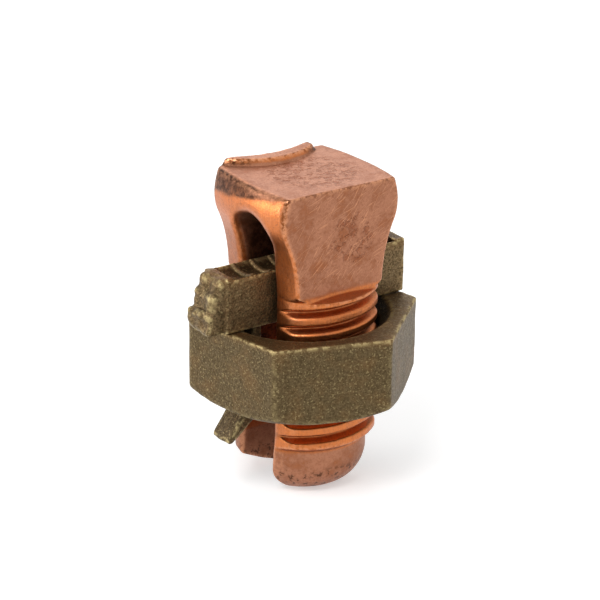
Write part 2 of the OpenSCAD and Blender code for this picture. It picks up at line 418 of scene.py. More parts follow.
@dataclass(frozen=True)
class TumbledCopper:
    """Bare copper, pressed and machined, then tumbled and lightly tarnished.

    Pressed faces are dull and pink, the thread and the drawn flanks are bright orange, and corners hold
    brown oxide. The same brown is painted as shade in the thread's grooves, in the slot and on the back leg.
    """

    pressed: str = "#a97459"       # dull pink skin of the pressed faces
    pressed_low: str = "#8c5a41"   # the same, where it is more tarnished
    drawn: str = "#c67441"         # orange metal of the thread and the drawn flanks
    drawn_low: str = "#7e3f20"     # the same in shade-side hollows
    tarnish_and_shade: str = "#3a2012"         # brown oxide in corners and in the slot, and painted shade in the slot, the thread's grooves and on the back leg
    rubbed: str = "#e0a078"        # edges rubbed bright by tumbling
    grain_mm: float = 0.16         # fine pitting of the skin
    cloud_mm: float = 1.6          # clouds of tarnish
    # width in mm, slope in degrees and seed of each set of tumbling scratches
    scratches: tuple[tuple[float, float, float], ...] = ((0.09, -50, 0.0), (0.12, -32, 0.3), (0.1, -68, 0.6))

    def make(self) -> bpy.types.Material:
        """Builds the material.

        Returns:
            The finished material.
        """
        shop = Shop("tumbled_copper")
        cut, tarnish_and_shade = shop.mark("drawn"), shop.mark("tarnish_and_shade")
        edge, pits, scored = shop.mark("edge"), shop.mark("pits"), shop.mark("scored")
        cloud = shop.grain(self.cloud_mm, 6.0, 0.72)
        fine = shop.grain(self.grain_mm, 3.0, 0.6)
        streak = shop.grain(0.16, 2.0, 0.5, shop.turned((0, 0, 0), (1.0, 1.0, 0.08)))
        score = None
        for size, angle, seed in self.scratches:
            along = shop.turned((0, angle, 0), (1.0, 0.2, 0.045))
            lines = shop.ramp(shop.grain(size, 2.0, 0.5, along, seed), 0.62, 0.72)
            score = lines if score is None else shop.math("MAXIMUM", score, lines)
        score = shop.math("MULTIPLY", score, scored, clamp=True)
        dent = shop.ramp(shop.grain(0.5, 3.0, 0.6, offset=0.21), 0.5, 0.62)
        dent = shop.math("MULTIPLY", dent, shop.mark("scuffed"))
        skin_colour = shop.blend(shop.ramp(cloud, 0.42, 0.66), self.pressed, self.pressed_low)
        bright = shop.blend(shop.ramp(streak, 0.35, 0.85, 0.0, 0.35), self.drawn, self.drawn_low)
        share = shop.math("ADD", cut, shop.ramp(cloud, 0.3, 0.75, -0.25, 0.25), clamp=True)
        colour = shop.blend(share, skin_colour, bright)
        colour = shop.blend(shop.ramp(fine, 0.5, 0.72, 0.0, 0.6), colour, self.pressed_low)
        colour = shop.blend(shop.math("MULTIPLY", dent, 0.45), colour, self.drawn_low)
        # Dark brown where the mesh's mark asks: oxide, and painted shade in the thread's grooves, in the slot
        # and on the back leg.
        dark = shop.ramp(shop.grain(0.5, 4.0, 0.7, offset=0.7), 0.3, 0.62, 0.6, 1.0)
        dark = shop.math("MULTIPLY", tarnish_and_shade, dark)
        colour = shop.blend(dark, colour, self.tarnish_and_shade)
        spots = shop.math("MULTIPLY", pits, shop.ramp(shop.grain(0.45, 3.0, 0.6, offset=0.11), 0.53, 0.62))
        colour = shop.blend(shop.math("MULTIPLY", spots, 0.75), colour, self.tarnish_and_shade)
        worn = shop.grain(0.35, 3.0, 0.6, offset=0.5)
        stained = shop.math("MULTIPLY", edge, shop.ramp(worn, 0.54, 0.68, 0.0, 0.6))
        colour = shop.blend(stained, colour, self.tarnish_and_shade)
        rubbed = shop.math("MULTIPLY", edge, shop.ramp(worn, 0.6, 0.42, 0.0, 0.85))
        colour = shop.blend(rubbed, colour, self.rubbed)
        colour = shop.blend(shop.math("MULTIPLY", score, 0.4), colour, self.rubbed)
        rough = shop.ramp(share, 0.0, 1.0, 0.46, 0.34)
        rough = shop.math("ADD", rough, shop.ramp(fine, 0.2, 0.8, -0.06, 0.08))
        relief = shop.math("ADD", shop.math("MULTIPLY", fine, 0.5), shop.math("MULTIPLY", streak, 0.06))
        relief = shop.math("ADD", relief, shop.math("MULTIPLY", cloud, 0.6))
        relief = shop.math("SUBTRACT", relief, shop.math("MULTIPLY", score, 0.35))
        hollow = shop.math("ADD", shop.math("MULTIPLY", spots, 0.5), shop.math("MULTIPLY", dent, 1.5))
        relief = shop.math("SUBTRACT", relief, hollow)
        return shop.finish(colour, rough, 1.0, relief, 0.035)


@dataclass(frozen=True)
class CastBronze:
    """Silicon bronze with the sandy skin of its casting, olive brown, and pale where handling has rubbed it."""

    name: str
    skin: str = "#635339"          # olive-brown casting skin
    skin_low: str = "#4b3d26"      # the same in its pores
    warm: str = "#7a5a36"          # brown tarnish
    hollow: str = "#1d150b"        # black-brown grime in deep hollows, and painted shade in the nut's countersink and under the nut
    rubbed: str = "#d9c48c"        # bare pale metal on edges and grain tops
    grain_mm: float = 0.2          # sand grains in the skin
    cloud_mm: float = 2.2          # clouds of tarnish
    rubbed_share: float = 0.55     # how bright the rubbed edges are

    def make(self) -> bpy.types.Material:
        """Builds the material.

        Returns:
            The finished material.
        """
        shop = Shop(self.name)
        edge, warm, shade = shop.mark("edge"), shop.mark("warm"), shop.mark("tarnish_and_shade")
        cloud = shop.grain(self.cloud_mm, 3.0, 0.6)
        grain = shop.grain(self.grain_mm, 3.0, 0.7)
        coarse = shop.grain(self.grain_mm * 2.6, 2.0, 0.6, offset=0.4)
        sparkle = shop.ramp(shop.grain(self.grain_mm * 0.8, 1.0, 0.5, offset=0.9), 0.6, 0.7)
        colour = shop.blend(shop.ramp(grain, 0.35, 0.68), self.skin, self.skin_low)
        tarnish = shop.math("ADD", warm, shop.ramp(cloud, 0.45, 0.75, 0.0, 0.45))
        tarnish = shop.math("MULTIPLY", tarnish, 0.8, clamp=True)
        colour = shop.blend(tarnish, colour, self.warm)
        # Black-brown where the mesh's mark asks: grime, and painted shade in the nut's countersink and on the
        # bar's prongs under the nut.
        colour = shop.blend(shop.math("MULTIPLY", shade, 0.85), colour, self.hollow)
        colour = shop.blend(shop.math("MULTIPLY", sparkle, 0.22), colour, self.rubbed)
        rubbed = shop.math("MULTIPLY", edge, shop.ramp(coarse, 0.44, 0.56, 0.1, 1.0))
        colour = shop.blend(shop.math("MULTIPLY", rubbed, self.rubbed_share), colour, self.rubbed)
        rough = shop.ramp(grain, 0.2, 0.8, 0.42, 0.62)
        relief = shop.math("ADD", shop.math("MULTIPLY", grain, 0.7), shop.math("MULTIPLY", coarse, 0.6))
        return shop.finish(colour, rough, 0.9, relief, 0.06)


@dataclass(frozen=True)
class MattePaper:
    """White paper sweep that the connector stands on."""

    colour: str = "#e8e8e8"
    glow: float = 0.42             # added for the camera and the metal, so that unshaded paper reads as white

    def make(self) -> bpy.types.Material:
        """Builds the material: diffuse paper that keeps the soft shadow, and white where the camera sees it.

        Returns:
            The finished material.
        """
        material = bpy.data.materials.new("matte_paper")
        material.use_nodes = True
        tree = material.node_tree
        tree.nodes.clear()
        paper = add_node(tree, "ShaderNodeBsdfDiffuse", {"Color": hex_colour(self.colour)})
        share = add_node(tree, "ShaderNodeMath", {0: seen_directly(tree), 1: self.glow}, operation="MULTIPLY")
        glow = add_node(tree, "ShaderNodeEmission", {"Strength": share.outputs[0]})
        both = add_node(tree, "ShaderNodeAddShader", {0: paper.outputs[0], 1: glow.outputs[0]})
        add_node(tree, "ShaderNodeOutputMaterial", {"Surface": both.outputs[0]})
        return material


# --------------------------------------------------------------------------- thread and ridges

class ThreadSide(Enum):
    """Which side of a wall a thread is cut into."""

    OUTSIDE = "outside"
    INSIDE = "inside"


@dataclass(frozen=True)
class Thread:
    """A right-hand V thread, pressed into a round wall by a Geometry Nodes tree.

    Sizes are in mm. The grooves run between bottom and top and fade out over the run-out at each end.
    """

    side: ThreadSide
    crest_radius: float
    depth: float
    pitch: float
    bottom: float
    top: float
    run_out: float = 0.35
    crest_share: float = 0.44      # share of the pitch that stays as a flat crest
    belly: float = 0.45            # how far the flanks bulge into the groove
    play: float = 0.05             # an inner wall is taken as the bore up to this far outside the crest radius

    def tree(self, material: bpy.types.Material) -> bpy.types.NodeTree:
        """Builds the tree that presses the thread into a mesh.

        Args:
            material: the finish that the tree sets at its end.

        Returns:
            The node tree, with the thread's sizes as named inputs.
        """
        tree = bpy.data.node_groups.new(f"thread_{self.side.value}", "GeometryNodeTree")
        face = tree.interface
        face.new_socket("Geometry", in_out="INPUT", socket_type="NodeSocketGeometry")
        for name in ("Crest Radius", "Depth", "Pitch", "Bottom", "Top", "Run Out", "Crest Share"):
            face.new_socket(name, in_out="INPUT", socket_type="NodeSocketFloat")
        face.new_socket("Geometry", in_out="OUTPUT", socket_type="NodeSocketGeometry")
        given = add_node(tree, "NodeGroupInput").outputs

        def math_node(operation: str, a: object, b: object = 0.0) -> bpy.types.NodeSocket:
            """Works out one sum of two numbers or sockets."""
            return add_node(tree, "ShaderNodeMath", {0: a, 1: b}, operation=operation).outputs[0]

        def ramp(value: object, low: object, high: object) -> bpy.types.NodeSocket:
            """Rises smoothly from 0 at low to 1 at high."""
            node = add_node(tree, "ShaderNodeMapRange", {"Value": value, "From Min": low, "From Max": high},
                            interpolation_type="SMOOTHSTEP")
            return node.outputs["Result"]

        where = add_node(tree, "GeometryNodeInputPosition").outputs[0]
        x, y, z = add_node(tree, "ShaderNodeSeparateXYZ", {0: where}).outputs
        radius = math_node("SQRT", math_node("ADD", math_node("MULTIPLY", x, x), math_node("MULTIPLY", y, y)))
        turn = math_node("DIVIDE", math_node("ARCTAN2", y, x), 2.0 * math.pi)
        count = math_node("SUBTRACT", math_node("DIVIDE", z, given["Pitch"]), turn)
        off_groove = math_node("ABSOLUTE", math_node("SUBTRACT", math_node("FRACT", count), 0.5))
        off_groove = math_node("MULTIPLY", off_groove, 2.0)
        flank = math_node("SUBTRACT", 1.0, given["Crest Share"])
        groove = math_node("SUBTRACT", 1.0, math_node("MINIMUM", math_node("DIVIDE", off_groove, flank), 1.0))
        fullness = math_node("SUBTRACT", 1.0 + self.belly, math_node("MULTIPLY", groove, self.belly))
        groove = math_node("MULTIPLY", groove, fullness)
        fade_in = ramp(z, given["Bottom"], math_node("ADD", given["Bottom"], given["Run Out"]))
        fade_out = ramp(z, math_node("SUBTRACT", given["Top"], given["Run Out"]), given["Top"])
        fade = math_node("MULTIPLY", fade_in, math_node("SUBTRACT", 1.0, fade_out))
        cut = math_node("MULTIPLY", math_node("MULTIPLY", groove, fade), given["Depth"])
        if self.side is ThreadSide.OUTSIDE:
            wanted = math_node("MINIMUM", radius, math_node("SUBTRACT", given["Crest Radius"], cut))
        else:
            near = math_node("LESS_THAN", radius, math_node("ADD", given["Crest Radius"], self.play * MM))
            wanted = math_node("SUBTRACT", radius, math_node("MULTIPLY", near, cut))
        scale = math_node("DIVIDE", wanted, math_node("MAXIMUM", radius, 1e-6))
        flat = add_node(tree, "ShaderNodeCombineXYZ", {0: math_node("MULTIPLY", x, scale),
                                                       1: math_node("MULTIPLY", y, scale), 2: z}).outputs[0]
        in_reach = add_node(tree, "FunctionNodeBooleanMath", {
            0: math_node("GREATER_THAN", z, given["Bottom"]), 1: math_node("LESS_THAN", z, given["Top"])},
            operation="AND").outputs[0]
        pressed = add_node(tree, "GeometryNodeSetPosition",
                           {"Geometry": given["Geometry"], "Selection": in_reach, "Position": flat})
        smooth = add_node(tree, "GeometryNodeBlurAttribute",
                          {"Value": add_node(tree, "GeometryNodeInputPosition").outputs[0], "Iterations": 1,
                           "Weight": 0.5}, data_type="FLOAT_VECTOR")
        eased = add_node(tree, "GeometryNodeSetPosition",
                         {"Geometry": pressed.outputs[0], "Selection": in_reach, "Position": smooth.outputs[0]})
        real = add_node(tree, "GeometryNodeRealizeInstances", {0: eased.outputs[0]})
        dressed = add_node(tree, "GeometryNodeSetMaterial", {"Geometry": real.outputs[0], "Material": material})
        add_node(tree, "NodeGroupOutput", {0: dressed.outputs[0]})
        return tree

    def press_into(self, piece: bpy.types.Object, material: bpy.types.Material) -> None:
        """Presses the thread into a piece and sets its material.

        Args:
            piece: the piece, with a plain round wall.
            material: its finish.
        """
        sizes = {"Crest Radius": self.crest_radius * MM, "Depth": self.depth * MM, "Pitch": self.pitch * MM,
                 "Bottom": self.bottom * MM, "Top": self.top * MM, "Run Out": self.run_out * MM,
                 "Crest Share": self.crest_share}
        apply_tree(piece, self.tree(material), sizes)


def apply_tree(piece: bpy.types.Object, tree: bpy.types.NodeTree, sizes: dict[str, object]) -> None:
    """Runs a Geometry Nodes tree on a piece and keeps the result as its plain mesh.

    Args:
        piece: the piece to change.
        tree: the node tree.
        sizes: the tree's inputs, by name.
    """
    modifier = piece.modifiers.new(tree.name, "NODES")
    modifier.node_group = tree
    for item in tree.interface.items_tree:
        if item.item_type == "SOCKET" and item.in_out == "INPUT" and item.name in sizes:
            modifier[item.identifier] = sizes[item.name]
    bpy.context.view_layer.update()
    graph = bpy.context.evaluated_depsgraph_get()
    made = bpy.data.meshes.new_from_object(piece.evaluated_get(graph))
    piece.modifiers.remove(modifier)
    old = piece.data
    piece.data = made
    made.name = piece.name
    bpy.data.meshes.remove(old)


@dataclass(frozen=True)
class GripRidges:
    """The ribs that cross the bar's saddle and bite into the conductor, laid out by a Geometry Nodes tree."""

    count: int = 9
    pitch: float = 1.85
    first: float = -8.1
    rim: float = -2.62             # height of a rib's middle line at its ends
    reach: float = 1.5             # half the length of a rib across the bar
    dip: float = 0.38              # how far its middle lies below its ends
    width: float = 0.5
    height: float = 0.62

    def tree(self, material: bpy.types.Material) -> bpy.types.NodeTree:
        """Builds the tree: a sagging rib, swept along an arc, repeated along the bar.

        Args:
            material: the finish that the tree sets at its end.

        Returns:
            The node tree, with the ribs' sizes as named inputs.
        """
        tree = bpy.data.node_groups.new("grip_ridges", "GeometryNodeTree")
        face = tree.interface
        face.new_socket("Count", in_out="INPUT", socket_type="NodeSocketInt")
        for name in ("Pitch", "First", "Rim", "Reach", "Dip", "Width", "Height"):
            face.new_socket(name, in_out="INPUT", socket_type="NodeSocketFloat")
        face.new_socket("Geometry", in_out="OUTPUT", socket_type="NodeSocketGeometry")
        given = add_node(tree, "NodeGroupInput").outputs

        back = add_node(tree, "ShaderNodeMath", {0: given["Reach"], 1: -1.0}, operation="MULTIPLY").outputs[0]
        sag = add_node(tree, "ShaderNodeMath", {0: given["Dip"], 1: -2.0}, operation="MULTIPLY").outputs[0]
        low = add_node(tree, "ShaderNodeCombineXYZ", {1: back}).outputs[0]
        high = add_node(tree, "ShaderNodeCombineXYZ", {1: given["Reach"]}).outputs[0]
        middle = add_node(tree, "ShaderNodeCombineXYZ", {2: sag}).outputs[0]
        arc = add_node(tree, "GeometryNodeCurveQuadraticBezier",
                       {"Resolution": 16, "Start": low, "Middle": middle, "End": high})
        ring = add_node(tree, "GeometryNodeCurvePrimitiveCircle", {"Resolution": 12, "Radius": 0.5},
                        mode="RADIUS")
        scale = add_node(tree, "ShaderNodeCombineXYZ", {0: given["Height"], 1: given["Width"], 2: 1.0})
        oval = add_node(tree, "GeometryNodeTransform",
                        {"Geometry": ring.outputs[0], "Scale": scale.outputs[0]})
        upright = add_node(tree, "GeometryNodeSetCurveNormal", {"Curve": arc.outputs[0]}, mode="Z_UP")
        rib = add_node(tree, "GeometryNodeCurveToMesh",
                       {"Curve": upright.outputs[0], "Profile Curve": oval.outputs[0], "Fill Caps": True})
        start = add_node(tree, "ShaderNodeCombineXYZ", {0: given["First"], 2: given["Rim"]}).outputs[0]
        step = add_node(tree, "ShaderNodeCombineXYZ", {0: given["Pitch"]}).outputs[0]
        row = add_node(tree, "GeometryNodeMeshLine",
                       {"Count": given["Count"], "Start Location": start, "Offset": step}, mode="OFFSET")
        ribs = add_node(tree, "GeometryNodeInstanceOnPoints",
                        {"Points": row.outputs[0], "Instance": rib.outputs[0]})
        real = add_node(tree, "GeometryNodeRealizeInstances", {0: ribs.outputs[0]})
        soft = add_node(tree, "GeometryNodeSetShadeSmooth", {0: real.outputs[0]})
        dressed = add_node(tree, "GeometryNodeSetMaterial", {"Geometry": soft.outputs[0], "Material": material})
        add_node(tree, "NodeGroupOutput", {0: dressed.outputs[0]})
        return tree

    def build(self, material: bpy.types.Material) -> bpy.types.Object:
        """Builds the row of ribs as one mesh.

        Args:
            material: their finish.

        Returns:
            The finished ribs.
        """
        mesh = bpy.data.meshes.new("grip_ridges")
        piece = bpy.data.objects.new("grip_ridges", mesh)
        bpy.context.scene.collection.objects.link(piece)
        apply_tree(piece, self.tree(material),
                   {"Count": self.count, "Pitch": self.pitch * MM, "First": self.first * MM,
                    "Rim": self.rim * MM, "Reach": self.reach * MM, "Dip": self.dip * MM,
                    "Width": self.width * MM, "Height": self.height * MM})
        return piece


# --------------------------------------------------------------------------- the bolt

@dataclass
class SplitBolt:
    """The copper bolt: a pressed head, a slot with rounded lips, and two threaded legs. Sizes are in mm."""

    slot_w: float = 4.3
    slot_edge: float = 0.85        # rounding where the slot meets the sides
    crown_edge: float = 1.3        # the same at the crown of the slot
    head_w: float = 10.4
    head_l: float = 11.9
    swell_l: float = 12.8
    swell_drop: float = 2.0
    head_top: float = 4.9
    side_r: float = 24.0
    corner_r: float = 7.85
    corner_top_r: float = 7.5
    lip_h: float = 0.55
    lip_front_r: float = 6.65
    lip_back_r: float = 9.3
    lip_w: float = 1.65
    lip_y: float = 2.75
    leg_l: float = 9.8
    thread_r: float = 6.35
    thread_depth: float = 0.82
    thread_top: float = -4.05
    thread_low: float = -17.5
    shoulder_h: float = 0.5
    leg_tip: float = -22.5
    tip_r: float = 5.5
    dome_h: float = 3.2
    foot_r: float = 2.7
    back_tip_r: float = 5.8        # the back leg ends in a blunt cone, a little shorter than the front one
    back_tip_z: float = -20.28
    back_lean: float = 0.543
    pitch: float = 1.411
    neck_in: float = 1.65          # how far the shoulder narrows up to the head
    run_h: float = 0.7             # height over which the thread's crests run down to the plain tips
    dull_z: float = 3.95           # above this height the pressed sides keep their dull skin
    dull_lean: float = 0.155       # that height falls towards the back by this slope
    step: float = 0.15
    # from, to and step of the net's heights, finer where the thread shows
    bands: tuple[tuple[float, float, float], ...] = (
        (-23.0, -18.6, 0.17), (-18.6, -14.0, 0.09), (-14.0, -8.2, 0.13), (-8.2, -3.9, 0.09), (-3.9, 6.0, 0.16))

    def side_reach(self, z: Array) -> tuple[Array, Array]:
        """Gives how far the side stands out at a height, and how steeply it leans there.

        Args:
            z: heights, in mm.

        Returns:
            The reach from the axis at the middle of the side, and the rise of that reach with height.
        """
        leg, swell = self.leg_l / 2, self.swell_l / 2
        swell_z = self.head_top - self.swell_drop
        inset = swell - self.head_l / 2
        swell_r = (self.swell_drop ** 2 + inset ** 2) / (2 * inset)
        centre = swell - swell_r
        rise, span = swell_z - self.thread_top, leg - centre
        flare_r = (rise ** 2 + span ** 2 - swell_r ** 2) / (2 * (swell_r - span))
        flare_c = leg + flare_r
        join = swell_z - rise * swell_r / (swell_r + flare_r)
        up = np.clip(z - swell_z, -swell_r * 0.99, swell_r * 0.99)
        down = np.clip(z - self.thread_top, 0.0, flare_r * 0.99)
        bulge, hollow = np.sqrt(swell_r ** 2 - up ** 2), np.sqrt(flare_r ** 2 - down ** 2)
        reach = np.where(z > join, centre + bulge, flare_c - hollow)
        lean = np.where(z > join, -up / bulge, down / hollow)
        return reach, lean

    def side(self, x: Array, y: Array, z: Array) -> Array:
        """Distance to the convex sides, which face along the conductor.

        Args:
            x: places along X, in mm.
            y: places along Y, in mm.
            z: places along Z, in mm.

        Returns:
            The distance at each place in mm, negative inside.
        """
        reach, lean = self.side_reach(z)
        centre = self.side_r - self.leg_l / 2
        out = np.hypot(np.abs(x) + centre, y) - centre
        return (out - reach) / np.sqrt(1.0 + lean ** 2)

    def top(self, x: Array, y: Array) -> Array:
        """Height of the coined top, with the lip along its back edge.

        Args:
            x: places along X, in mm.
            y: places along Y, in mm.

        Returns:
            The height at each place, in mm.
        """
        front = np.hypot(x, y - self.lip_y - self.lip_front_r) - self.lip_front_r
        back = self.lip_back_r - np.hypot(x, y - self.lip_y - self.lip_w - self.lip_back_r)
        ends = smooth_step(x, -5.4, -4.9) * smooth_step(x, 4.2, 3.6)
        raised = self.lip_h * ends * smooth_step(front, 0.0, -0.4) * smooth_step(back, 0.06, -0.12)
        return self.head_top + raised

    def head(self, x: Array, y: Array, z: Array) -> Array:
        """Distance to the head block, before its sides are pressed.

        Args:
            x: places along X, in mm.
            y: places along Y, in mm.
            z: places along Z, in mm.

        Returns:
            The distance at each place in mm, negative inside.
        """
        across = np.hypot(x, y)
        swell_z = self.head_top - self.swell_drop
        corner = np.interp(z, [swell_z, self.head_top], [self.corner_r, self.corner_top_r])
        block = round_max(np.abs(y) - self.head_w / 2, across - corner, 0.35)
        block = round_max(block, (z - self.top(x, y)) * 0.85, 0.16)
        trim = (across - self.thread_r + 0.05 - 1.1 * np.maximum(z - self.thread_top + 0.35, 0.0)) * 0.7
        return np.maximum(np.maximum(block, trim), self.thread_top - self.shoulder_h - z)

    def shank(self, x: Array, y: Array, z: Array) -> Array:
        """Distance to the turned part: shoulder, thread's outside, plain tips and their domed ends.

        Args:
            x: places along X, in mm.
            y: places along Y, in mm.
            z: places along Z, in mm.

        Returns:
            The distance at each place in mm, negative inside.
        """
        across = np.hypot(x, y)
        back = y > 0.0
        tip_r = np.where(back, self.back_tip_r, self.tip_r)
        run = smooth_step(z, self.thread_low, self.thread_low - self.run_h)
        neck = np.clip((z - self.thread_top + self.shoulder_h) / self.shoulder_h, 0.0, 1.0)
        outside = self.thread_r - run * (self.thread_r - tip_r) - self.neck_in * neck
        wall = across - outside
        wall = np.where(z > self.thread_top - self.shoulder_h, wall * 0.35, wall)
        foot = np.maximum(across - self.foot_r, 0.0) / (self.tip_r - self.foot_r)
        up = np.maximum(self.leg_tip + self.dome_h - z, 0.0) / self.dome_h
        dome = (np.hypot(foot, up) - 1.0) * min(self.dome_h, self.tip_r - self.foot_r)
        dome = np.maximum(np.where(z < self.leg_tip + self.dome_h, dome, wall), self.leg_tip - z)
        cone = (self.back_tip_z - self.back_lean * (self.back_tip_r - across) - z) * 0.88
        end = round_max(wall, np.where(back, cone, -9.0), 0.2)
        return np.maximum(np.where(back, end, np.maximum(wall, dome)), z - self.thread_top)

    def slot(self, y: Array, z: Array) -> Array:
        """Distance to the slot's wall, negative in the open slot."""
        radius = self.slot_w / 2
        return np.where(z > 0.0, np.hypot(y, z), np.abs(y)) - radius

    def plain(self, x: Array, y: Array, z: Array) -> Array:
        """Distance to the whole bolt, before its dents.

        Args:
            x: places along X, in mm.
            y: places along Y, in mm.
            z: places along Z, in mm.

        Returns:
            The distance at each place in mm, negative inside.
        """
        blank = round_min(self.head(x, y, z), self.shank(x, y, z), 0.12)
        blank = round_max(blank, self.side(x, y, z), 0.3)
        crown = self.crown_edge - 0.5 * np.clip(y / 2.0, -1.0, 1.0)
        edge = np.interp(z, [-20.5, -17.0], [0.3, self.slot_edge])
        edge = edge + (crown - edge) * smooth_step(z, -2.5, 2.0)
        return round_max(blank, -self.slot(y, z), edge)

    def dented(self, x: Array, y: Array, z: Array) -> Array:
        """Distance to the bolt with the shallow dents of pressing and tumbling."""
        soft = lumps(x, y, z, 2.6, 11) * 0.03 + lumps(x, y, z, 0.9, 12) * 0.012
        return self.plain(x, y, z) + soft + SKIN_INSET

    def marks(self, net: Array) -> dict[str, Array]:
        """Works out, at each point, what the finish needs to know.

        Args:
            net: the points, one a row, in mm.

        Returns:
            Numbers from 0 to 1 by name: drawn, oxide (brown tarnish and painted shade), edge, pits, scored and
                scuffed.
        """
        x, y, z = net.T
        blur = lumps(x, y, z, 1.3, 31)
        normal = slope_of(self.plain, net, 0.08)
        normal /= np.maximum(np.linalg.norm(normal, axis=1, keepdims=True), 1e-6)
        sideways = smooth_step(np.abs(normal[:, 0]), 0.25, 0.6)
        in_slot = smooth_step(self.slot(y, z), 0.3, 0.05) * smooth_step(np.abs(x), 4.6, 3.6)
        below = smooth_step(z, self.thread_top + 0.2, self.thread_top - 0.2)
        above_tip = smooth_step(z, self.thread_low - 1.0, self.thread_low - 0.6)
        thread = below * above_tip
        bend = bend_of(self.plain, net, 0.25)
        drawn = np.clip(np.maximum(sideways * smooth_step(z, -17.0, -15.0), thread), 0.0, 1.0)
        lip = smooth_step(z, self.head_top + 0.08, self.head_top + 0.25) * smooth_step(normal[:, 2], 0.95, 0.7)
        limit = self.dull_z - self.dull_lean * y
        dull = smooth_step(z + 0.3 * blur - limit, -0.2, 0.25) * sideways
        drawn = drawn * (1.0 - dull)
        band = smooth_step(np.abs(z + 0.3 * blur - limit), 0.45, 0.0) * sideways
        corner = smooth_step(np.abs(np.abs(y) - self.head_w / 2), 0.7, 0.2)
        corner = corner * smooth_step(np.abs(normal[:, 1]), 0.97, 0.8) * smooth_step(z, 1.0, 2.5) * sideways
        turns = z / self.pitch - np.arctan2(y, x) / (2.0 * math.pi)
        # Painted shade in the thread's grooves.
        groove = smooth_step(np.abs(turns - np.floor(turns) - 0.5), 0.24, 0.05) * thread
        # Oxide, and painted shade, on the slot's walls, fading out between 9 and 14 mm below the crown.
        slot_oxide_and_shade = in_slot * smooth_step(z, -14.0, -9.0)
        # Painted shade on the back leg, below the head.
        back_leg_shade = smooth_step(y, 1.5, 2.5) * smooth_step(z, 1.5, -1.0)
        # Dark brown share: darker on the dull skin under the top edges, more so towards the back, and along
        # that skin's lower edge; oxide down the head's corners; painted shade in the thread's grooves and on
        # the back leg; oxide and painted shade on the slot's walls.
        tarnish_and_shade = 1.1 * dull * smooth_step(y, -4.0, 1.0) + 0.4 * groove + 0.42 * back_leg_shade + 0.6 * band \
            + 0.7 * corner + 0.6 * slot_oxide_and_shade
        front = smooth_step(np.hypot((x - 1.0) / 2.7, (z - 0.4) / 2.7), 1.0, 0.7) * smooth_step(-y, 4.9, 5.1)
        crown = smooth_step(np.hypot(x - 0.3, y + 0.4), 4.4, 3.2) * smooth_step(normal[:, 2], 0.8, 0.95)
        return {"drawn": np.clip(np.maximum(drawn, lip), 0.0, 1.0),
                "tarnish_and_shade": np.clip(tarnish_and_shade, 0.0, 1.0),
                "edge": np.clip(bend * 0.5, 0.0, 1.0),
                "pits": smooth_step(z, -19.5, -20.6),
                "scored": smooth_step(np.abs(y), 4.9, 5.1) * smooth_step(z, self.thread_top, -3.0),
                "scuffed": front + crown}

    def build(self, copper: bpy.types.Material) -> bpy.types.Object:
        """Builds the bolt, presses its thread and gives it its place on the bolt body.

        Args:
            copper: its finish.

        Returns:
            The finished bolt.
        """
        levels = [even_axis(*band)[min(k, 1):] for k, band in enumerate(self.bands)]
        axes = (even_axis(-7.0, 7.0, self.step), even_axis(-7.0, 7.0, self.step), np.concatenate(levels))
        net, faces = skin(self.dented, axes)
        piece = mesh_object("split_bolt", net, faces, self.marks(net))
        thread = Thread(ThreadSide.OUTSIDE, crest_radius=self.thread_r, depth=self.thread_depth,
                        pitch=self.pitch, bottom=self.thread_low - 0.5,
                        top=self.thread_top - self.shoulder_h + 0.1)
        thread.press_into(piece, copper)
        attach(piece, "bolt")
        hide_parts("bolt_body")
        return piece


# --------------------------------------------------------------------------- the nut

